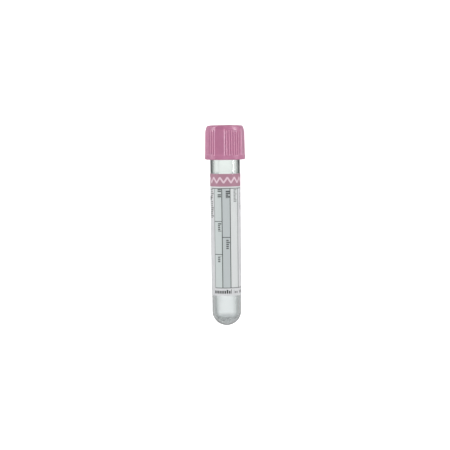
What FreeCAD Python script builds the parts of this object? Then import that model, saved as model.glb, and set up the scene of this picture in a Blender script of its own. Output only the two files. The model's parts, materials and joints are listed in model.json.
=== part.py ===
import FreeCAD, Part
import math
import os

# Evacuated blood collection tube of the 13 x 75 mm class: a round-bottomed clear tube, its label,
# and a screw-off closure made of a gripped cap, a rubber stopper and the ring that holds the stopper.
# Every piece is moulded or wrapped about the tube's own axis, so it is modelled with that axis on Z,
# the round bottom's tip at zero and the closure above. lay_down() then lays the whole tube along +Y,
# as it comes to rest on a bench: on its round bottom and on one flat of the cap's collar.
# Lengths are millimetres and angles degrees. Radii are taken from the axis.

# Tube: clear plastic, narrowing slightly towards its foot so that it leaves its mould.
TUBE_LENGTH = 75.0
TUBE_RADIUS = 6.25          # outside, just under the closure
DRAFT = 0.15                # how much smaller the foot's radius is
FOOT_STRAIGHT = 6.4         # straight length above the round bottom, which a rack or rotor holds
WALL = 1.0                  # at the foot
BORE_DRAFT = 0.1            # how much wider the bore is at the mouth
MOUTH_SPARE = 2.7           # straight bore left below the stopper's plug
NECK_INSET = 0.15           # of the threaded neck from the body
NECK_STEP = 0.3             # height of the slope between them
RIM_CHAMFER = 0.3

# Cap: barrel-shaped grip with flats between panels of upright ribs, on a plain collar.
CAP_HEIGHT = 14.35
CAP_OVER_RIM = 10.0         # how far the cap's top stands above the tube's rim
CAP_WALL = 1.85             # from the skirt's bore to the collar's outside
SKIRT_GAP = 0.4             # between tube and skirt, where the thread runs
SKIRT_COVER = 0.6           # how far the skirt hangs below the neck
SKIRT_LEAD_IN = 0.4
COLLAR_HEIGHT = 1.7
COLLAR_CHAMFER = 0.2
BARREL_INSET = 0.05         # of the barrel's foot from the collar
SHOULDER_INSET = 0.2        # of the height where the barrel turns in
SHOULDER_DROP = 3.7         # how far below the top that is
CROWN_INSET = 0.9           # of the barrel's upper end
CROWN_CHAMFER = 0.4
CROWN_WALL = 1.2            # from the pocket's bore to the barrel's upper end
FLATS = 4
FLAT_DEPTH = 0.25           # how far a flat lies inside the barrel
COLLAR_FLAT_DEPTH = 0.12    # the same for the small flat below it on the collar
RIBS_IN_PANEL = 9
RIB_PITCH = 7.7             # degrees from rib to rib
GROOVE_DEPTH = 0.5
GROOVE_WIDTH = 0.78
GROOVE_RISE = 0.2           # of the grooves' lower ends above the collar
LEDGE_GAP = 0.25            # between the tube's rim and the ledge that carries the stopper
LEDGE_HEIGHT = 1.1
LEDGE_CLEARANCE = 0.25      # how much wider the ledge's hole is than the tube's mouth
POCKET_CHAMFER = 0.25

# Stopper: rubber plug with a flange that lies on the ledge and a boss that stands up in the ring.
PLUG_LENGTH = 4.0           # below the tube's rim
PLUG_CLEARANCE = 0.05
PLUG_NOSE = 0.5
PLUG_HOLLOW_WALL = 1.85
PLUG_HOLLOW_DEPTH = 1.5
FLANGE_HEIGHT = 2.2
FLANGE_CLEARANCE = 0.1
BOSS_HEIGHT = 1.0
BOSS_CLEARANCE = 0.25
DISH_RIM = 0.8
DISH_DEPTH = 0.9
STOPPER_CHAMFER = 0.3

# Ring: snapped into the cap's pocket above the stopper's flange.
RING_SUNK = 1.2             # below the cap's top
RING_CLEARANCE = 0.03       # around it in the pocket
RING_SEAT_GAP = 0.05        # above the flange
RING_BORE_RADIUS = 4.35
RING_RELIEF = 0.35          # how much wider and higher its foot's bore is than the stopper's boss
RING_FUNNEL = 0.75          # how much the mouth opens outwards
RING_FUNNEL_DEPTH = 0.9
RING_EDGE = 0.25
SNAP_BEAD = 0.12            # height of the bead round the ring, and half its width

# Label: printed film round most of the tube, with a clear strip left at the back.
LABEL_OVER_FOOT = 0.6       # above the straight foot
LABEL_UNDER_CAP = 5.95      # below the cap
LABEL_THICKNESS = 0.1
LABEL_GLUE = 0.02
LABEL_WRAP = 300.0
LABEL_TURN = 16.0           # how far its middle is turned from the uppermost flat

# Where the pieces meet.
FOOT_RADIUS = TUBE_RADIUS - DRAFT
FOOT_TOP = FOOT_RADIUS + FOOT_STRAIGHT
MOUTH_RADIUS = FOOT_RADIUS - WALL + BORE_DRAFT
NECK_RADIUS = TUBE_RADIUS - NECK_INSET
SKIRT_RADIUS = TUBE_RADIUS + SKIRT_GAP
CAP_RADIUS = SKIRT_RADIUS + CAP_WALL
CAP_TOP = TUBE_LENGTH + CAP_OVER_RIM
CAP_FOOT = CAP_TOP - CAP_HEIGHT
COLLAR_TOP = CAP_FOOT + COLLAR_HEIGHT
SHOULDER = CAP_TOP - SHOULDER_DROP
NECK_FOOT = CAP_FOOT + SKIRT_COVER
CROWN_RADIUS = CAP_RADIUS - CROWN_INSET
POCKET_RADIUS = CROWN_RADIUS - CROWN_WALL
LEDGE_FOOT = TUBE_LENGTH + LEDGE_GAP
LEDGE_TOP = LEDGE_FOOT + LEDGE_HEIGHT
FLANGE_TOP = LEDGE_TOP + FLANGE_HEIGHT
BOSS_TOP = FLANGE_TOP + BOSS_HEIGHT
RING_FOOT = FLANGE_TOP + RING_SEAT_GAP
RING_TOP = CAP_TOP - RING_SUNK
SNAP_MIDDLE = (RING_FOOT + RING_TOP) / 2

ORIGIN = FreeCAD.Vector(0, 0, 0)
UP = FreeCAD.Vector(0, 0, 1)


def point(radius, height):
    return FreeCAD.Vector(radius, 0, height)


def lines(*corners):
    """Straight edges from corner to corner, each given as (radius, height)."""
    corners = [point(*corner) for corner in corners]
    return [Part.LineSegment(a, b).toShape() for a, b in zip(corners, corners[1:])]


def drafted(start, end):
    """A long, slightly sloping side. As a spline it turns into long facets, unlike a cone."""
    return Part.BSplineCurve([start, end], [2, 2], [0, 1], False, 1).toShape()


def round_bottom(radius):
    """Quarter circle from the foot's side to the axis, about the middle of the round bottom."""
    half = radius * math.sqrt(0.5)
    side, middle, tip = (radius, 0), (half, -half), (0, -radius)
    return Part.Arc(*[point(r, FOOT_RADIUS + h) for r, h in (side, middle, tip)]).toShape()


def turned(edges, angle=360):
    """Solid of revolution of a closed outline in the axial plane."""
    return Part.Face(Part.Wire(Part.__sortEdges__(edges))).revolve(ORIGIN, UP, angle)


def around(shape, angle):
    copy = shape.copy()
    copy.rotate(ORIGIN, UP, angle)
    return copy


def make_tube():
    bore = FOOT_RADIUS - WALL
    straight_bore = TUBE_LENGTH - PLUG_LENGTH - MOUTH_SPARE
    rim_outside, rim_inside = NECK_RADIUS - RIM_CHAMFER, MOUTH_RADIUS + RIM_CHAMFER
    body_top = (TUBE_RADIUS, NECK_FOOT - NECK_STEP)
    return turned(
        [round_bottom(FOOT_RADIUS)]
        + lines((FOOT_RADIUS, FOOT_RADIUS), (FOOT_RADIUS, FOOT_TOP))
        + [drafted(point(FOOT_RADIUS, FOOT_TOP), point(*body_top))]
        + lines(
            body_top, (NECK_RADIUS, NECK_FOOT), (NECK_RADIUS, TUBE_LENGTH - RIM_CHAMFER),
            (rim_outside, TUBE_LENGTH), (rim_inside, TUBE_LENGTH),
            (MOUTH_RADIUS, TUBE_LENGTH - RIM_CHAMFER), (MOUTH_RADIUS, straight_bore),
        )
        + [drafted(point(MOUTH_RADIUS, straight_bore), point(bore, FOOT_RADIUS)), round_bottom(bore)]
        + lines((0, WALL), (0, 0))
    )


def make_label():
    """Film that follows the tube's draft, over a thin layer of glue."""
    low, high = FOOT_TOP + LABEL_OVER_FOOT, CAP_FOOT - LABEL_UNDER_CAP
    draft_per_length = DRAFT / (NECK_FOOT - NECK_STEP - FOOT_TOP)

    def side(inset):
        return [point(FOOT_RADIUS + inset + draft_per_length * (h - FOOT_TOP), h) for h in (low, high)]

    inside, outside = side(LABEL_GLUE), side(LABEL_GLUE + LABEL_THICKNESS)
    ends = [Part.LineSegment(a, b).toShape() for a, b in zip(inside, outside)]
    film = turned([drafted(*inside), drafted(*outside)] + ends, LABEL_WRAP)
    return around(film, LABEL_TURN - 90 - LABEL_WRAP / 2)


def tangent_arc(start, heading, end):
    """Arc in the axial plane that leaves start along heading and reaches end."""
    chord = end - start
    half_turn = math.atan2(heading.x * chord.z - heading.z * chord.x, heading.dot(chord))
    middle = (start + end) * 0.5 + point(chord.z, -chord.x) * (math.tan(half_turn / 2) / 2)
    return Part.Arc(start, middle, end).toShape()


def on_draft(height, inset):
    """Point of the barrel's drafted side, or of the line that carries it on, moved inwards by inset."""
    share = (height - COLLAR_TOP) / (SHOULDER - COLLAR_TOP)
    return point(CAP_RADIUS - BARREL_INSET - (SHOULDER_INSET - BARREL_INSET) * share - inset, height)


def barrel_side(inset):
    """The barrel's drafted side and the arc that turns it in to the crown, moved inwards by inset."""
    foot, shoulder = on_draft(COLLAR_TOP, inset), on_draft(SHOULDER, inset)
    crown = point(CROWN_RADIUS - inset, CAP_TOP - CROWN_CHAMFER)
    return [drafted(foot, shoulder), tangent_arc(shoulder, shoulder - foot, crown)]


def cap_outline(barrel_inset, collar_inset):
    """Open outline of the cap from its axis at the foot, up its side, to its axis at the top."""
    collar, crown = CAP_RADIUS - collar_inset, CROWN_RADIUS - barrel_inset
    return (
        lines(
            (0, CAP_FOOT), (collar - COLLAR_CHAMFER, CAP_FOOT), (collar, CAP_FOOT + COLLAR_CHAMFER),
            (collar, COLLAR_TOP), (CAP_RADIUS - BARREL_INSET - barrel_inset, COLLAR_TOP),
        )
        + barrel_side(barrel_inset)
        + lines((crown, CAP_TOP - CROWN_CHAMFER), (crown - CROWN_CHAMFER, CAP_TOP), (0, CAP_TOP))
    )


def flat_slab():
    """Slab with the cap's outline on two opposite sides, straight across: it leaves two flats."""
    half = cap_outline(FLAT_DEPTH, COLLAR_FLAT_DEPTH)
    mirrored = [edge.mirror(ORIGIN, FreeCAD.Vector(1, 0, 0)) for edge in half]
    width = 3 * CAP_RADIUS
    face = Part.Face(Part.Wire(Part.__sortEdges__(half + mirrored)))
    face.translate(FreeCAD.Vector(0, -width / 2, 0))
    return face.extrude(FreeCAD.Vector(0, width, 0))


def groove_cutter():
    """Cutter for the V groove between two ribs. Its bottom keeps the side's draft, so that it
    leaves the mould upwards, and it runs out where the barrel turns in."""
    sections = []
    for height in (COLLAR_TOP + GROOVE_RISE, CAP_TOP):
        bottom, mouth = on_draft(height, GROOVE_DEPTH), on_draft(height, -GROOVE_DEPTH)
        aside = FreeCAD.Vector(0, GROOVE_WIDTH, 0)
        sections.append(Part.makePolygon([bottom, mouth + aside, mouth - aside, bottom]))
    return Part.makeLoft(sections, True, True)


def make_cap():
    body = turned(cap_outline(0, 0) + lines((0, CAP_TOP), (0, CAP_FOOT)))
    slab = flat_slab()
    for number in range(FLATS // 2):
        body = body.common(around(slab, 90 + number * 360 / FLATS))
    cutter = groove_cutter()
    grooves = []
    for panel in range(FLATS):
        first = 90 + (panel + 0.5) * 360 / FLATS - (RIBS_IN_PANEL - 2) / 2 * RIB_PITCH
        grooves += [around(cutter, first + number * RIB_PITCH) for number in range(RIBS_IN_PANEL - 1)]
    body = body.cut(grooves)
    skirt_and_thread_space = turned(lines(
        (0, CAP_FOOT), (SKIRT_RADIUS + SKIRT_LEAD_IN, CAP_FOOT),
        (SKIRT_RADIUS, CAP_FOOT + SKIRT_LEAD_IN), (SKIRT_RADIUS, LEDGE_FOOT),
        (0, LEDGE_FOOT), (0, CAP_FOOT),
    ))
    stopper_hole = Part.makeCylinder(MOUTH_RADIUS + LEDGE_CLEARANCE, CAP_TOP, ORIGIN, UP)
    snap = [
        (POCKET_RADIUS, SNAP_MIDDLE - 2 * SNAP_BEAD), (POCKET_RADIUS + SNAP_BEAD, SNAP_MIDDLE - SNAP_BEAD),
        (POCKET_RADIUS + SNAP_BEAD, SNAP_MIDDLE + SNAP_BEAD), (POCKET_RADIUS, SNAP_MIDDLE + 2 * SNAP_BEAD),
    ]
    pocket = turned(lines(
        (0, LEDGE_TOP), (POCKET_RADIUS, LEDGE_TOP), *snap,
        (POCKET_RADIUS, CAP_TOP - POCKET_CHAMFER), (POCKET_RADIUS + POCKET_CHAMFER, CAP_TOP),
        (0, CAP_TOP), (0, LEDGE_TOP),
    ))
    return body.cut([skirt_and_thread_space, stopper_hole, pocket])


def make_stopper():
    plug = MOUTH_RADIUS - PLUG_CLEARANCE
    foot = TUBE_LENGTH - PLUG_LENGTH
    hollow = plug - PLUG_HOLLOW_WALL
    flange = POCKET_RADIUS - FLANGE_CLEARANCE
    boss = RING_BORE_RADIUS - BOSS_CLEARANCE
    dish = boss - DISH_RIM
    return turned(lines(
        (0, foot + PLUG_HOLLOW_DEPTH), (hollow / 2, foot + PLUG_HOLLOW_DEPTH), (hollow, foot),
        (plug - PLUG_NOSE, foot), (plug, foot + 2 * PLUG_NOSE), (plug, LEDGE_TOP),
        (flange, LEDGE_TOP), (flange, FLANGE_TOP - STOPPER_CHAMFER),
        (flange - STOPPER_CHAMFER, FLANGE_TOP), (boss, FLANGE_TOP),
        (boss, BOSS_TOP - STOPPER_CHAMFER), (boss - STOPPER_CHAMFER, BOSS_TOP), (dish, BOSS_TOP),
        (dish / 2, BOSS_TOP - DISH_DEPTH), (0, BOSS_TOP - DISH_DEPTH), (0, foot + PLUG_HOLLOW_DEPTH),
    ))


def make_cap_ring():
    outside = POCKET_RADIUS - RING_CLEARANCE
    relief = RING_BORE_RADIUS + RING_RELIEF
    relief_top = BOSS_TOP + RING_RELIEF
    return turned(lines(
        (relief, RING_FOOT), (outside - RING_EDGE, RING_FOOT), (outside, RING_FOOT + RING_EDGE),
        (outside, SNAP_MIDDLE - SNAP_BEAD), (outside + SNAP_BEAD, SNAP_MIDDLE),
        (outside, SNAP_MIDDLE + SNAP_BEAD), (outside, RING_TOP - RING_EDGE),
        (outside - RING_EDGE, RING_TOP), (RING_BORE_RADIUS + RING_FUNNEL, RING_TOP),
        (RING_BORE_RADIUS, RING_TOP - RING_FUNNEL_DEPTH), (RING_BORE_RADIUS, relief_top),
        (relief, relief_top - RING_RELIEF), (relief, RING_FOOT),
    ))


def lay_down(pieces):
    """Lay the pieces along +Y, touching Z = 0 with the round bottom and the collar's flat."""
    collar_corner = point(
        CAP_RADIUS - COLLAR_FLAT_DEPTH, CAP_FOOT + COLLAR_CHAMFER - FOOT_RADIUS
    )
    tilt = math.atan2(collar_corner.x, collar_corner.z) - math.asin(FOOT_RADIUS / collar_corner.Length)
    turn = FreeCAD.Rotation(FreeCAD.Vector(1, 0, 0), math.degrees(tilt) - 90)
    laid = FreeCAD.Placement(FreeCAD.Vector(0, 0, FOOT_RADIUS * (1 - math.sin(tilt))), turn)
    for shape in pieces.values():
        shape.Placement = laid.multiply(shape.Placement)
    box = Part.makeCompound(list(pieces.values())).optimalBoundingBox(False)
    to_middle = FreeCAD.Vector(0, -(box.YMin + box.YMax) / 2, 0)
    for shape in pieces.values():
        shape.translate(to_middle)
    print("rises", math.degrees(tilt), "degrees, tip at", laid.Base + to_middle)


pieces = {
    "tube": make_tube(),
    "label": make_label(),
    "cap": make_cap(),
    "stopper": make_stopper(),
    "cap_ring": make_cap_ring(),
}
lay_down(pieces)
os.makedirs("parts", exist_ok=True)
for name, shape in pieces.items():
    shape.exportStep("parts/" + name + ".step")
    print(name, len(shape.Solids), "solid,", round(shape.Volume, 2), "mm3, valid:", shape.isValid())
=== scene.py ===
import json
import math

import bmesh
import bpy
from mathutils import Matrix, Vector


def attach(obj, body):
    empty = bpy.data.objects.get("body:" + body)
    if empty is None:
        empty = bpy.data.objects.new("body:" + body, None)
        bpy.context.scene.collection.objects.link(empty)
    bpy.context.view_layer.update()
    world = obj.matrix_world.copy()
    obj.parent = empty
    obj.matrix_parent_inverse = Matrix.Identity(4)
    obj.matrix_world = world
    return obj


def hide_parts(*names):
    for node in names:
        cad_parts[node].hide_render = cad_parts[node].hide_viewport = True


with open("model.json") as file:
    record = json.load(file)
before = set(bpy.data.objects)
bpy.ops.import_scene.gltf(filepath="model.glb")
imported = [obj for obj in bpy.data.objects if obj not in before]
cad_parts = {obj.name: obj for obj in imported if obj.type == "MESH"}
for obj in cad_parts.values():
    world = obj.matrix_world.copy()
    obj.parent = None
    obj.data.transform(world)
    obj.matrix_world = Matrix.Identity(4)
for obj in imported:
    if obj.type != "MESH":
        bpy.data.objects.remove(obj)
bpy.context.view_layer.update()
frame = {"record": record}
bpy.context.scene.view_settings.view_transform = "Standard"


# --- Tube ---------------------------------------------------------------------------------------
# Clear injection-moulded polyester, round-bottomed, with a slight draft, a four-start thread on
# its neck and the gate's mark at its tip. A dried coating makes the inside a little hazy low down,
# and a painted shade darkens the outer wall where it curves away.
FOOT_R, BODY_R, NECK_R = 6.1, 6.25, 6.1
FOOT_TOP, NECK_FOOT, RIM = 12.5, 71.25, 75.0
BODY_TOP = NECK_FOOT - 0.3
WALL, MIDDLE_OF_WALL_R = 1.0, 5.7
BORE_LOW_R, BORE_TOP_R, MOUTH_DEPTH = 5.1, 5.2, 6.7
STEP_ROUND, RIM_ROUND = 0.1, 0.3
THREAD_STARTS, THREAD_LEAD, THREAD_HEIGHT, THREAD_WIDTH = 4, 12.0, 0.3, 0.35
NECK_THREAD_LOW, NECK_THREAD_TOP, THREAD_ROW = 72.0, 74.2, 0.13
GATE_R, GATE_DENT, GATE_FADE = 0.6, 0.12, 0.25
COATING_FULL, COATING_END = 3.6, 6.6
MERGE = 1e-4
FAR = 99.0

# The tube lies on its round bottom and on one flat of its cap. Every piece is made about the
# tube's own axis in millimetres, tip of the bottom at zero and cap above, with -Y as the side
# that ends up on top, and is then laid down into the frame.
MM = 0.001
foot = next(mount for mount in frame["record"]["mounts"] if mount["name"] == "rack_foot")
along = -Vector(foot["axis"])
across = Vector((1, 0, 0))
tip = Vector(foot["pos_m"]) - along * (foot["dims"]["r_mm"] + foot["dims"]["length_mm"] / 2) * MM
turn = Matrix((across, along.cross(across), along)).transposed()
laid = Matrix.Translation(tip) @ turn.to_4x4() @ Matrix.Scale(MM, 4)


def turned(corners, steps, sweep=360.0, rows=()):
    """Turn an outline of (radius, height, rounding) corners about the axis. Each corner is rounded
    from that far along its sides. rows are heights at which its sides get one more row."""
    bm = bmesh.new()
    spots = [bm.verts.new((radius, 0, height)) for radius, height, _ in corners]
    for pair in zip(spots, spots[1:]):
        bm.edges.new(pair)
    for spot, (_, _, rounding) in zip(spots, corners):
        if rounding:
            bmesh.ops.bevel(
                bm, geom=[spot], offset=rounding, offset_type="OFFSET", affect="VERTICES",
                segments=max(3, min(28, round(rounding * 9))), profile=0.5, material=-1,
            )
    for row in rows:
        bmesh.ops.bisect_plane(
            bm, geom=bm.verts[:] + bm.edges[:], dist=MERGE,
            plane_co=(0, 0, row), plane_no=(0, 0, 1),
        )
    bmesh.ops.remove_doubles(bm, verts=bm.verts, dist=MERGE)
    quarters = 4 if sweep == 360 else 1
    bmesh.ops.spin(
        bm, geom=bm.verts[:] + bm.edges[:], cent=(0, 0, 0), axis=(0, 0, 1), dvec=(0, 0, 0),
        angle=math.radians(sweep / quarters), steps=steps // quarters, use_merge=False,
    )
    first = bm.verts[:] + bm.edges[:] + bm.faces[:]
    for quarter in range(1, quarters):
        copied = bmesh.ops.duplicate(bm, geom=first)["geom"]
        bmesh.ops.rotate(
            bm, verts=[part for part in copied if isinstance(part, bmesh.types.BMVert)],
            cent=(0, 0, 0), matrix=Matrix.Rotation(quarter * math.pi / 2, 3, "Z"),
        )
    bmesh.ops.remove_doubles(bm, verts=bm.verts, dist=MERGE)
    bmesh.ops.recalc_face_normals(bm, faces=bm.faces)
    return bm


def polar(spot):
    """How far a spot is from the axis, its angle round it in degrees, and its height."""
    return math.hypot(spot.x, spot.y), math.degrees(math.atan2(spot.y, spot.x)), spot.z


def piece(name, bm, material, body, node, crease=35.0):
    """Lay the finished mesh down, give it its material and hang it on its body."""
    bmesh.ops.transform(bm, matrix=laid, verts=bm.verts)
    mesh = bpy.data.meshes.new(name)
    bm.to_mesh(mesh)
    bm.free()
    mesh.materials.append(material)
    mesh.shade_smooth()
    mesh.set_sharp_from_angle(angle=math.radians(crease))
    made = bpy.data.objects.new(name, mesh)
    bpy.context.scene.collection.objects.link(made)
    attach(made, body)
    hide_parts(node)
    return made


def swell(value, low, high, soft):
    """1 between low and high, falling to 0 over soft outside them."""
    rise = min(1, max(0, (value - low) / soft + 1))
    fall = min(1, max(0, (high - value) / soft + 1))
    return rise * rise * (3 - 2 * rise) * fall * fall * (3 - 2 * fall)


def thread_ridge(angle, height):
    """How far the thread stands out at that place: nothing between its turns."""
    spacing = THREAD_LEAD / THREAD_STARTS
    off = (height - THREAD_LEAD * angle / 360 + spacing / 2) % spacing - spacing / 2
    return THREAD_HEIGHT * swell(off, -THREAD_WIDTH / 2, THREAD_WIDTH / 2, 0.28)


tube_bm = turned(
    [
        (0, 0, 0), (FOOT_R, 0, FOOT_R), (FOOT_R, FOOT_TOP, 0), (BODY_R, BODY_TOP, STEP_ROUND),
        (NECK_R, NECK_FOOT, STEP_ROUND), (NECK_R, RIM, RIM_ROUND), (BORE_TOP_R, RIM, RIM_ROUND),
        (BORE_TOP_R, RIM - MOUTH_DEPTH, 0), (BORE_LOW_R, FOOT_R, 0),
        (BORE_LOW_R, WALL, BORE_LOW_R), (0, WALL, 0),
    ],
    steps=256, rows=[NECK_FOOT + THREAD_ROW * step for step in range(2, 27)],
)
for vert in tube_bm.verts:
    radius, angle, height = polar(vert.co)
    if radius > NECK_R - 0.02 and height > NECK_FOOT:
        ridge = thread_ridge(angle, height) * swell(height, NECK_THREAD_LOW, NECK_THREAD_TOP, 0.35)
        vert.co.xy *= (radius + ridge) / radius
    # The gate leaves a shallow dent in the tip.
    if height < WALL / 2:
        vert.co.z += GATE_DENT * swell(radius, -GATE_R, GATE_R, GATE_FADE)


class Signal:
    """A shader socket that takes part in sums as a number would."""

    def __init__(self, socket):
        self.socket = socket

    def node(self, kind, settings, inputs, output=0):
        """Add a node of that kind: its settings first, then the values or links of its sockets."""
        tree = self.socket.id_data
        made = tree.nodes.new(kind)
        for name, value in settings.items():
            setattr(made, name, value)
        for name, value in inputs.items():
            if isinstance(value, Signal):
                tree.links.new(value.socket, made.inputs[name])
            else:
                made.inputs[name].default_value = value
        return Signal(made.outputs[output])

    def maths(self, operation, *others):
        terms = dict(enumerate((self,) + others))
        return self.node("ShaderNodeMath", {"operation": operation}, terms)

    def __add__(self, other):
        return self.maths("ADD", other)

    __radd__ = __add__

    def __mul__(self, other):
        return self.maths("MULTIPLY", other)

    __rmul__ = __mul__

    def __sub__(self, other):
        return self.maths("SUBTRACT", other)

    def __rsub__(self, other):
        return self * -1 + other

    def __truediv__(self, other):
        return self.maths("DIVIDE", other)

    def vector_maths(self, operation, *others, output=0):
        terms = dict(enumerate((self,) + others))
        return self.node("ShaderNodeVectorMath", {"operation": operation}, terms, output)

    def rise(self, low, high):
        """0 at low, 1 at high, smooth between."""
        return self.node(
            "ShaderNodeMapRange", {"interpolation_type": "SMOOTHSTEP"},
            {"Value": self, "From Min": low, "From Max": high},
        )

    def within(self, low, high, soft):
        """1 between low and high, with edges that soft."""
        return self.rise(low - soft, low + soft) * (1 - self.rise(high - soft, high + soft))

    def mix(self, first, second):
        """first where this is 0, second where it is 1."""
        return self.node("ShaderNodeMix", {"data_type": "RGBA"}, {0: self, 6: first, 7: second}, 2)

    def speckle(self, scale, detail):
        """Noise over this place, from 0 to 1; scale is its patches a millimetre."""
        return self.node(
            "ShaderNodeTexNoise", {}, {"Vector": self, "Scale": scale, "Detail": detail}
        )

    def bump(self, strength, deep):
        """The normal of a surface that this raises by up to deep millimetres."""
        return self.node(
            "ShaderNodeBump", {}, {"Height": self, "Strength": strength, "Distance": deep * MM}
        )

    def into(self, shader, name):
        self.socket.id_data.links.new(self.socket, shader.inputs[name])


def paint(red, green, blue):
    """A colour given in display values, as linear RGBA."""
    shares = [value / 255 for value in (red, green, blue)]
    return [s / 12.92 if s < 0.04045 else ((s + 0.055) / 1.055) ** 2.4 for s in shares] + [1]


def new_finish(name, **settings):
    """A material with its shader's constants set; returns it, its shader and, as a signal, the
    place on the piece in millimetres from the tube's tip, with Z up its axis."""
    material = bpy.data.materials.new(name)
    material.use_nodes = True
    shader = material.node_tree.nodes["Principled BSDF"]
    for socket, value in settings.items():
        shader.inputs[socket.replace("_", " ")].default_value = value
    place = Signal(material.node_tree.nodes.new("ShaderNodeTexCoord").outputs["Object"])
    place = place.node(
        "ShaderNodeMapping", {"vector_type": "TEXTURE"},
        {"Vector": place, "Location": tip, "Rotation": turn.to_euler(), "Scale": (MM, MM, MM)},
    )
    return material, shader, place


CLEAR_LOW, CLEAR_HIGH = paint(225, 228, 228), paint(230, 234, 232)
DRIED_COATING, PAINTED_EDGE_SHADE = paint(176, 181, 181), paint(96, 101, 100)

clear, shader, place = new_finish(
    "clear_polyester", Transmission_Weight=1.0, IOR=1.57, Roughness=0.02
)
height = place.node("ShaderNodeSeparateXYZ", {}, {"Vector": place}, "Z")
facing = place.node("ShaderNodeLayerWeight", {}, {"Blend": 0.5}, "Facing")
mottle = place.speckle(0.9, 4.0)

# The outer skin and the bore are told apart by their distance from the axis, or at the round
# bottom from its middle.
from_middle = place.vector_maths("SUBTRACT", (0, 0, FOOT_R)).vector_maths("MINIMUM", (FAR, FAR, 0))
outside = from_middle.vector_maths("LENGTH", output="Value").rise(
    MIDDLE_OF_WALL_R - 0.1, MIDDLE_OF_WALL_R + 0.1
)

# Painted shade: seen from the side, a dark, dull shader is mixed into the outer wall where it
# curves away; seen end-on, it stays clear.
axis = place.node("ShaderNodeCombineXYZ", {}, dict(zip("XYZ", along)))
abreast = axis.node("ShaderNodeLayerWeight", {}, {"Blend": 0.5, "Normal": axis}, "Facing")
abreast = abreast.rise(0.3, 0.75)
upper = height.rise(20, 60)
straight = height.rise(1, 6)
upper_edge = facing.rise(0.18, 0.58) * 0.95 * upper * abreast
lower_edge = facing.rise(0.1, 0.36) * 0.5 * straight * abreast
bottom_edge = facing.rise(0.25, 0.7) * 0.6 * (1 - straight)
painted_edge_shade = (upper_edge + (lower_edge + bottom_edge) * (1 - upper)) * outside

coated = 1 - (height + 1.6 * mottle).rise(COATING_FULL, COATING_END)
coating = (1 - outside) * coated * (0.23 + 0.36 * mottle.rise(0.35, 0.7))
upper.mix(CLEAR_LOW, CLEAR_HIGH).into(shader, "Base Color")
(mottle * coated).bump(0.3, 0.2).into(shader, "Normal")
# This dull shader is the dried coating inside the bore and the painted edge shade on the outer
# wall.
haze_and_edge_shade = place.node("ShaderNodeBsdfPrincipled", {}, {"Roughness": 0.6, "Specular IOR Level": 0.0})
outside.mix(DRIED_COATING, PAINTED_EDGE_SHADE).into(haze_and_edge_shade.socket.node, "Base Color")
haze_and_edge_shade_share = painted_edge_shade + coating
wall = haze_and_edge_shade_share.node("ShaderNodeMixShader", {}, {0: haze_and_edge_shade_share, 1: Signal(shader.outputs[0]), 2: haze_and_edge_shade})
wall.into(clear.node_tree.nodes["Material Output"], "Surface")
tube = piece("clear_tube", tube_bm, clear, "tube_body", "tube")


# --- Label --------------------------------------------------------------------------------------
# White satin film, printed in one pink and one grey ink and glued round most of the tube, with a
# clear strip left at the back. The writing table is ruled in columns that run down the tube.
LABEL_LOW, LABEL_HIGH = 13.1, 64.7
GLUE, LABEL_THICK = 0.02, 0.19
LABEL_WRAP, LABEL_TURN = 300.0, 16.0
UNPRINTED = -9.0
BAND_LOW = 59.35
ZIGZAG_PITCH, ZIGZAG_LOW, ZIGZAG_HEIGHT, ZIGZAG_STROKE = 3.1, 60.9, 2.3, 0.36
ZIGZAG_START, ZIGZAG_SLANT = 0.2, 0.56
TABLE_LOW, TABLE_HIGH, TABLE_RIGHT = 16.4, 58.55, 14.0
COLUMN_LINES = (-5.04, -1.45, 2.01, 5.8, 9.0)
COLUMN_LINES_INK = (0.6, 1.0, 1.0, 0.8, 0.8)
FIRST_COLUMN_RULES, SECOND_COLUMN_RULE = (44.6, 30.62), 37.85
LINE = 0.16
CELL_EDGE, INK_EDGE, BAR_EDGE, STROKE_EDGE = 0.02, 0.03, 0.05, 0.04
FILM, PALE_FILM, PLAIN_BACK = paint(219, 220, 222), paint(225, 226, 228), paint(222, 223, 225)
PAINTED_GLOW_BEHIND = paint(205, 206, 208)
COLUMN_TINTS = (paint(209, 217, 216), paint(196, 203, 204), paint(223, 226, 226))
GREY_INK, PINK_BAND, PALE_ZIGZAG = paint(50, 56, 55), paint(180, 133, 151), paint(236, 210, 222)
# Each row of small print: from and to round the label, from and to up it, pitch, strength.
PRINT_DOWN = (
    (-3.3, -1.75, 54.5, 58.3, 0.76, 0.9),
    (-3.3, -1.8, 40.4, 43.9, 0.8, 0.85),
    (-3.5, -1.9, 27.2, 29.9, 0.8, 0.8),
    (0.2, 1.85, 54.4, 58.3, 0.78, 1.0),
    (0.2, 1.7, 32.8, 37.1, 0.82, 0.85),
    (3.6, 5.1, 52.6, 58.2, 0.62, 0.6),
    (7.6, 8.3, 49.4, 56.6, 0.6, 0.85),
    (-7.5, -5.5, 46.0, 58.3, 0.86, 0.65),
)
DARK_BLOCK = (-8.4, -7.2, 53.4, 55.2)
PRINT_ROUND = ((-5.3, 2.2, 14.0, 15.8, 0.95, 1.0), (3.4, 8.8, 14.1, 15.4, 0.9, 0.7))


def tube_radius(height):
    """The tube's outer radius at a height on its straight, drafted part."""
    return FOOT_R + (BODY_R - FOOT_R) * (height - FOOT_TOP) / (BODY_TOP - FOOT_TOP)


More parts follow.
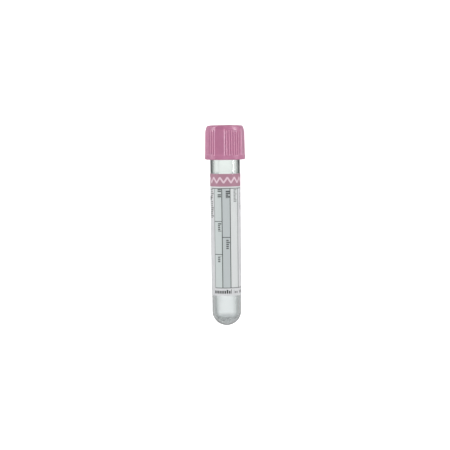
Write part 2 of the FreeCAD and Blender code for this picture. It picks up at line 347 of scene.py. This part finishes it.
low_r, high_r = [tube_radius(height) + GLUE for height in (LABEL_LOW, LABEL_HIGH)]
label_bm = turned(
    [
        (low_r, LABEL_LOW, 0), (low_r + LABEL_THICK, LABEL_LOW, 0),
        (high_r + LABEL_THICK, LABEL_HIGH, 0), (high_r, LABEL_HIGH, 0), (low_r, LABEL_LOW, 0),
    ],
    steps=240, sweep=LABEL_WRAP,
)
open_ends = [edge for edge in label_bm.edges if edge.is_boundary]
bmesh.ops.holes_fill(label_bm, edges=open_ends, sides=4)
bmesh.ops.recalc_face_normals(label_bm, faces=label_bm.faces)
bmesh.ops.rotate(
    label_bm, verts=label_bm.verts, cent=(0, 0, 0),
    matrix=Matrix.Rotation(math.radians(LABEL_TURN - 90 - LABEL_WRAP / 2), 3, "Z"),
)
print_map = label_bm.loops.layers.uv.new("print")
for face in label_bm.faces:
    middle = face.calc_center_median()
    printed = face.normal.dot(Vector((middle.x, middle.y, 0)).normalized()) > 0.5
    for loop in face.loops:
        _, angle, height = polar(loop.vert.co)
        off = (angle + 90 - LABEL_TURN + 180) % 360 - 180
        loop[print_map].uv = (math.radians(off) * BODY_R, height if printed else UNPRINTED)

# Its emission is a painted glow, on the adhesive side only.
film, shader, place = new_finish("label_film", Specular_IOR_Level=0.3, Emission_Strength=1.0)
weave = place.speckle(0.3, 5.0)
sheet = place.node("ShaderNodeUVMap", {"uv_map": "print"}, {})
parts = sheet.node("ShaderNodeSeparateXYZ", {}, {"Vector": sheet}).socket.node
u, v = Signal(parts.outputs["X"]), Signal(parts.outputs["Y"])
colour = weave.rise(0.35, 0.65).mix(FILM, PALE_FILM)
in_table = v.within(TABLE_LOW, TABLE_HIGH, CELL_EDGE)
for low_u, high_u, tint in zip(COLUMN_LINES, COLUMN_LINES[1:], COLUMN_TINTS):
    colour = (u.within(low_u, high_u, CELL_EDGE) * in_table).mix(colour, tint)


def block(low_u, high_u, low_v, high_v):
    """A printed block, as a mask."""
    return u.within(low_u, high_u, INK_EDGE) * v.within(low_v, high_v, INK_EDGE)


def rule(low_u, high_u, height):
    """A printed line round the label, as a mask."""
    return block(low_u, high_u, height - LINE, height + LINE)


def bars(low_u, high_u, low_v, high_v, pitch, down=True):
    """A row of short plain bars in place of small print, running down the label or round it. Over
    half of them are a third shorter, and about one in eleven is left out."""
    run, tall, low, high = (v, u, low_u, high_u) if down else (u, v, low_v, high_v)
    step = run / pitch
    pick = step.node(
        "ShaderNodeTexWhiteNoise", {"noise_dimensions": "1D"}, {"W": step.maths("FLOOR")}, "Value"
    )
    top = low + (high - low) * (0.68 + 0.32 * pick.rise(0.55, 0.6))
    bar = step.maths("FRACT").within(0.16, 0.84, 0.06) * (1 - pick.rise(0.9, 0.91))
    bar *= tall.rise(low - 0.04, low + 0.04) * (1 - (tall - top).rise(-0.04, 0.04))
    ends = u.within(low_u - 0.1, high_u + 0.1, BAR_EDGE) * v.within(low_v, high_v, BAR_EDGE)
    return bar * ends


first, second, third = COLUMN_LINES[:3]
marks = [
    (rule(first - 1.6, TABLE_RIGHT, TABLE_HIGH), 0.85),
    (rule(first, TABLE_RIGHT, TABLE_LOW), 0.8),
    *((rule(first, second, height), 0.85) for height in FIRST_COLUMN_RULES),
    (rule(second, third, SECOND_COLUMN_RULE), 0.9),
    *((bars(*row), weight) for *row, weight in PRINT_DOWN),
    (block(*DARK_BLOCK), 0.9),
    *((bars(*row, down=False), weight) for *row, weight in PRINT_ROUND),
]
for line, weight in zip(COLUMN_LINES, COLUMN_LINES_INK):
    marks.append((block(line - LINE, line + LINE, TABLE_LOW, TABLE_HIGH), weight))
for mark, weight in marks:
    colour = (mark * weight).mix(colour, GREY_INK)

# A pale zigzag runs round the pink band. Its slant turns height off the line into width.
colour = v.rise(BAND_LOW - 0.05, BAND_LOW + 0.05).mix(colour, PINK_BAND)
swing = (u / ZIGZAG_PITCH + ZIGZAG_START).maths("PINGPONG", 0.5) * 2 * ZIGZAG_HEIGHT
off_line = ((v - ZIGZAG_LOW) - swing).maths("ABSOLUTE") * ZIGZAG_SLANT
stroke = 1 - off_line.rise(ZIGZAG_STROKE - STROKE_EDGE, ZIGZAG_STROKE + STROKE_EDGE)
stroke *= v.within(ZIGZAG_LOW - 0.2, ZIGZAG_LOW + 2.5, STROKE_EDGE)
colour = (stroke * 0.9).mix(colour, PALE_ZIGZAG)

# The adhesive side is plain, and a painted glow on it stands in for the light that soaks
# through the film.
behind = 1 - v.rise(-3, -2)
behind.mix(colour, PLAIN_BACK).into(shader, "Base Color")
behind.mix(paint(0, 0, 0), PAINTED_GLOW_BEHIND).into(shader, "Emission Color")
(0.42 + 0.16 * weave).into(shader, "Roughness")
weave.bump(0.25, 0.1).into(shader, "Normal")
label = piece("printed_label", label_bm, film, "tube_body", "label")


# --- Stopper ------------------------------------------------------------------------------------
# Grey butyl rubber, compression moulded: a plug in the tube's mouth, a flange that hangs on the
# cap's ledge, and a dished boss that a needle goes through.
LEDGE_LOW, LEDGE_TOP, FLANGE_TOP, BOSS_TOP = 75.25, 76.35, 78.55, 79.55
PLUG_R, PLUG_LOW, FLANGE_R, BOSS_R = 5.15, 71.0, 6.3, 4.1
PLUG_LIP_R, PLUG_TAPER = 4.65, 1.0
HOLLOW_R, HOLLOW_MOUTH_R, HOLLOW_TOP, DISH_DEPTH = 1.65, 3.3, 72.5, 0.9
RUBBER, PALE_RUBBER = paint(142, 145, 147), paint(164, 167, 169)

stopper_bm = turned(
    [
        (0, HOLLOW_TOP, 0), (HOLLOW_R, HOLLOW_TOP, 0.4), (HOLLOW_MOUTH_R, PLUG_LOW, 0.25),
        (PLUG_LIP_R, PLUG_LOW, 0.3), (PLUG_R, PLUG_LOW + PLUG_TAPER, 0.3),
        (PLUG_R, LEDGE_TOP, 0.1), (FLANGE_R, LEDGE_TOP, 0.15), (FLANGE_R, FLANGE_TOP, 0.3),
        (BOSS_R, FLANGE_TOP, 0.15), (BOSS_R, BOSS_TOP, 0.3), (HOLLOW_MOUTH_R, BOSS_TOP, 0.3),
        (HOLLOW_R, BOSS_TOP - DISH_DEPTH, 0.5), (0, BOSS_TOP - DISH_DEPTH, 0),
    ],
    steps=144,
)
rubber, shader, place = new_finish("grey_rubber", Specular_IOR_Level=0.35)
fine = place.speckle(6.0, 4.0)
fine.rise(0.3, 0.7).mix(RUBBER, PALE_RUBBER).into(shader, "Base Color")
(0.6 + 0.2 * fine).into(shader, "Roughness")
fine.bump(0.3, 0.1).into(shader, "Normal")
stopper = piece("rubber_stopper", stopper_bm, rubber, "stopper_body", "stopper")


# --- Cap ----------------------------------------------------------------------------------------
# Pink polyethylene, injection moulded: a barrel with four panels of upright ribs between four
# flats, on a plain collar. The mating thread inside its skirt screws it to the tube's neck.
CAP_FOOT, COLLAR_TOP, CAP_TOP = 70.65, 72.35, 85.0
COLLAR_R, BARREL_R, SHOULDER_R, SHOULDER_UP = 8.56, 8.51, 8.36, 8.95
CROWN_R, CROWN_FOOT, CROWN_ROUND = 8.32, 83.0, 1.5
TOP_R, TOP_ROUND = 7.54, 0.65
SKIRT_R, SKIRT_FLARE, LEDGE_R, POCKET_R = 6.65, 0.4, 5.45, 6.4
FLAT_DEPTH, FLAT_LEAD, FLAT_LEAD_UP = 0.31, 0.16, 0.6
CROWN_FLAT_DEPTH, CROWN_FLAT_FOOT = 0.2, 83.6
COLLAR_FLAT_DEPTH = 0.18
RIB_PITCH, RIBS, GROOVE_DEPTH = 7.7, 9, 0.3
GROOVE_LOW, GROOVE_TOP, GROOVE_FADE, PANEL_FADE = 72.85, 83.0, 0.3, 0.5
# Rows of the mesh at the skirt's thread, and where the flats and grooves begin and end.
CAP_ROWS = [CAP_FOOT + 0.3 * step for step in [*range(2, 17), *range(39, 48)]]
HIGHLIGHT_BEFORE, HIGHLIGHT_PAST, HIGHLIGHT_SOFT, HIGHLIGHT_TOP = 1.4, 0.6, 0.8, 83.2
FLAT_SHADE, COLLAR_FLAT_SHADE = -0.3, -0.25
SKIRT_THREAD_LOW, SKIRT_THREAD_TOP = 71.6, 74.4
PINK, CLOUDED_PINK = paint(188, 117, 151), paint(195, 124, 158)
CREST_HIGHLIGHT_PINK, EDGE_HIGHLIGHT_PINK, SHADE_PINK = paint(218, 154, 184), paint(228, 170, 198), paint(176, 102, 138)

cap_bm = turned(
    [
        (SKIRT_R, CAP_FOOT + SKIRT_FLARE, 0.1), (SKIRT_R + SKIRT_FLARE, CAP_FOOT, 0.12),
        (COLLAR_R, CAP_FOOT, 0.3), (COLLAR_R, COLLAR_TOP, 0.04), (BARREL_R, COLLAR_TOP, 0),
        (BARREL_R, COLLAR_TOP + 0.05, 0), (CROWN_R, CROWN_FOOT, CROWN_ROUND),
        (TOP_R, CAP_TOP, TOP_ROUND), (POCKET_R, CAP_TOP, 0.22), (POCKET_R, LEDGE_TOP, 0),
        (LEDGE_R, LEDGE_TOP, 0.1), (LEDGE_R, LEDGE_LOW, 0.1), (SKIRT_R, LEDGE_LOW, 0.1),
        (SKIRT_R, CAP_FOOT + SKIRT_FLARE, 0.1),
    ],
    steps=900, rows=CAP_ROWS,
)
# Painted light: the tone is above 0 on the rib crests and along the flats' edges, for a painted
# highlight, and below 0 in the grooves and on the flats of barrel and collar, for a painted shade.
painted_light_tone = cap_bm.verts.layers.float.new("painted_light_tone")
panel_half = RIB_PITCH * (RIBS - 1) / 2
for vert in cap_bm.verts:
    radius, angle, height = polar(vert.co)
    if radius > POCKET_R + 0.5 and height > CAP_FOOT - 0.01:
        from_flat = (angle + 45) % 90 - 45
        slant = math.cos(math.radians(from_flat))
        if height > COLLAR_TOP:
            draft = BARREL_R - (BARREL_R - SHOULDER_R) * (height - COLLAR_TOP) / SHOULDER_UP
            from_panel = angle % 90 - 45
            phase = (from_panel / RIB_PITCH + 0.5) % 1 - 0.5
            across_rib = 0.5 - 0.5 * math.cos(2 * math.pi * phase)
            grooves = swell(from_panel, -panel_half, panel_half, PANEL_FADE)
            grooves *= swell(height, GROOVE_LOW, GROOVE_TOP, GROOVE_FADE)
            grooved = draft - GROOVE_DEPTH * across_rib * grooves
            lead = FLAT_LEAD * max(0, 1 - (height - COLLAR_TOP) / FLAT_LEAD_UP)
            crown_cut = CROWN_FLAT_DEPTH * swell(height, CROWN_FLAT_FOOT, FAR, 0.6)
            flat = min(draft - FLAT_DEPTH + lead, radius - crown_cut) / slant
            new = min(radius, grooved, flat)
            # Painted highlight on the crests, painted shade in the grooves and on the flats.
            vert[painted_light_tone] = grooves * (0.5 - across_rib) + FLAT_SHADE * (new == flat and lead == 0)
            # A painted highlight runs along each flat's edge, up to below the crown.
            flat_edge = math.degrees(math.acos((draft - FLAT_DEPTH) / draft))
            edge_highlight = swell(
                abs(from_flat), flat_edge - HIGHLIGHT_BEFORE, flat_edge + HIGHLIGHT_PAST, HIGHLIGHT_SOFT
            )
            edge_highlight *= swell(height, 0, HIGHLIGHT_TOP, HIGHLIGHT_SOFT)
            vert[painted_light_tone] += edge_highlight * (1 - vert[painted_light_tone])
        else:
            flat = (COLLAR_R - COLLAR_FLAT_DEPTH) / slant
            new = min(radius, flat)
            vert[painted_light_tone] = COLLAR_FLAT_SHADE * (new == flat)
        vert.co.xy *= new / radius
    elif abs(radius - SKIRT_R) < 0.02 and CAP_FOOT + 0.5 < height < LEDGE_LOW - 0.1:
        # The skirt's ridges run half a turn's spacing off the neck's, so the two threads mate.
        ridge = thread_ridge(angle, height + THREAD_LEAD / THREAD_STARTS / 2)
        ridge *= swell(height, SKIRT_THREAD_LOW, SKIRT_THREAD_TOP, 0.3)
        vert.co.xy *= (radius - ridge) / radius

pink_plastic, shader, place = new_finish(
    "pink_polyethylene", Roughness=0.3, IOR=1.5, Subsurface_Weight=0.12, Subsurface_Scale=0.0012,
    Subsurface_Radius=(1.0, 0.5, 0.6),
)
cloud = place.speckle(0.35, 2.0)
grain = place.speckle(9.0, 3.0)
# The tone paints highlights on crests and flat edges, and shade in grooves and on flats.
painted_light = place.node("ShaderNodeAttribute", {"attribute_name": "painted_light_tone"}, {}, "Fac")
pink = cloud.rise(0.35, 0.65).mix(PINK, CLOUDED_PINK)
pink = painted_light.rise(0.05, 0.5).mix(pink, CREST_HIGHLIGHT_PINK)
pink = painted_light.rise(0.5, 1.0).mix(pink, EDGE_HIGHLIGHT_PINK)
painted_light.rise(-0.1, -0.5).mix(pink, SHADE_PINK).into(shader, "Base Color")
(0.24 + 0.1 * grain).into(shader, "Roughness")
grain.bump(0.2, 0.05).into(shader, "Normal")
cap = piece("ribbed_cap", cap_bm, pink_plastic, "cap_body", "cap", crease=50)


# --- Ring ---------------------------------------------------------------------------------------
# The same polyethylene: it snaps into the cap over the stopper's flange and leaves a round well
# down to the rubber for a needle holder.
RING_LOW, RING_TOP, RING_R = 78.6, 83.8, 6.37
RING_BORE_R, RING_BORE_LOW, RING_MOUTH_R, RING_FUNNEL = 4.35, 79.9, 5.1, 0.9
RELIEF_R, RELIEF_TOP = 4.7, 79.55

ring_bm = turned(
    [
        (RELIEF_R, RING_LOW, 0), (RING_R, RING_LOW, 0.25), (RING_R, RING_TOP, 0.3),
        (RING_MOUTH_R, RING_TOP, 0.2), (RING_BORE_R, RING_TOP - RING_FUNNEL, 0.3),
        (RING_BORE_R, RING_BORE_LOW, 0), (RELIEF_R, RELIEF_TOP, 0), (RELIEF_R, RING_LOW, 0),
    ],
    steps=144,
)
ring = piece("retaining_ring", ring_bm, pink_plastic, "cap_body", "cap_ring")


# --- Bench, light and camera --------------------------------------------------------------------
# A white bench that keeps the tube's soft shadow, and a plain white room. A wide softbox stands
# in front of the round bottom and a long one on each side, with a bright strip that only gloss
# shows in front of each of those two.
BENCH_HALF = 3
SEEN_WHITE, MIRRORED_WHITE = 0.8, 0.2
ROOM_FILL = 0.56
# All lamps are this far off the tube's axis, in metres. Each has an angle round the tube, its
# middle's height up the tube in mm, a width and a length in metres, and a power in watts.
LAMP_OFF = 0.55
LAMPS = {
    "left_softbox": (-61.0, 520, 0.34, 0.96, 1.2),
    "right_softbox": (85.0, 530, 0.07, 0.96, 0.8),
    "front_softbox": (20.0, 60, 1.3, 0.5, 1.5),
    "left_glint": (-61.0, 545, 0.12, 0.96, 4.6),
    "right_glint": (85.0, 545, 0.12, 0.96, 4.2),
}
CAMERA_TURN, CAMERA_DOWN, CAMERA_ROLL = (math.radians(part) for part in (16.6, 3.81, -0.68))
CAMERA_UP, CAMERA_OFF, CAMERA_ASIDE = 109.3, 1000, 0.32
LENS, SENSOR = 188.74, 36.0

bench_bm = bmesh.new()
bmesh.ops.create_grid(bench_bm, x_segments=1, y_segments=1, size=BENCH_HALF)
bench_mesh = bpy.data.meshes.new("bench")
bench_bm.to_mesh(bench_mesh)
bench_bm.free()
bench = bpy.data.objects.new("bench", bench_mesh)
bpy.context.scene.collection.objects.link(bench)
white_bench = bpy.data.materials.new("white_bench")
white_bench.use_nodes = True
tree = white_bench.node_tree
shader = tree.nodes["Principled BSDF"]
shader.inputs["Roughness"].default_value = 0.9
shader.inputs["Specular IOR Level"].default_value = 0.0
shader.inputs["Emission Color"].default_value = (1, 1, 1, 1)
rays = tree.nodes.new("ShaderNodeLightPath").outputs
seen, mirrored = Signal(rays["Is Camera Ray"]), Signal(rays["Is Glossy Ray"])
through = Signal(rays["Is Transmission Ray"])
through.mix((0.8, 0.8, 0.8, 1), (0, 0, 0, 1)).into(shader, "Base Color")
(seen * SEEN_WHITE + mirrored * MIRRORED_WHITE + through).into(shader, "Emission Strength")
bench_mesh.materials.append(white_bench)

world = bpy.data.worlds.new("room")
bpy.context.scene.world = world
world.use_nodes = True
fill = world.node_tree.nodes["Background"]
fill.inputs["Color"].default_value = (1, 1, 1, 1)
rays = world.node_tree.nodes.new("ShaderNodeLightPath").outputs
seen = Signal(rays["Is Camera Ray"]).maths("MAXIMUM", Signal(rays["Is Transmission Ray"]))
(ROOM_FILL + (1 - ROOM_FILL) * seen).into(fill, "Strength")

above = across.cross(along)
for name, (angle, middle, wide, tall, power) in LAMPS.items():
    lamp = bpy.data.lights.new(name, "AREA")
    lamp.shape = "RECTANGLE"
    lamp.size, lamp.size_y = wide, tall
    lamp.energy = power
    box = bpy.data.objects.new(name, lamp)
    heading = across * math.sin(math.radians(angle)) + above * math.cos(math.radians(angle))
    box.matrix_world = (
        Matrix.Translation(tip + along * middle * MM + heading * LAMP_OFF)
        @ Matrix((along.cross(heading), along, heading)).transposed().to_4x4()
    )
    box.visible_camera = False
    box.visible_diffuse = "softbox" in name
    bpy.context.scene.collection.objects.link(box)

lens = bpy.data.cameras.new("camera")
lens.lens, lens.sensor_width = LENS, SENSOR
lens.clip_start = 0.01
camera = bpy.data.objects.new("camera", lens)
outward = across * math.sin(CAMERA_TURN) + above * math.cos(CAMERA_TURN)
sideways = across * math.cos(CAMERA_TURN) - above * math.sin(CAMERA_TURN)
look = -outward * math.cos(CAMERA_DOWN) - along * math.sin(CAMERA_DOWN)
upright = (along - look * along.dot(look)).normalized()
stand = tip + along * CAMERA_UP * MM + outward * CAMERA_OFF * MM - sideways * CAMERA_ASIDE * MM
camera.matrix_world = (
    Matrix.Translation(stand)
    @ Matrix((upright.cross(-look), upright, -look)).transposed().to_4x4()
    @ Matrix.Rotation(CAMERA_ROLL, 4, "Z")
)
bpy.context.scene.collection.objects.link(camera)
bpy.context.scene.camera = camera
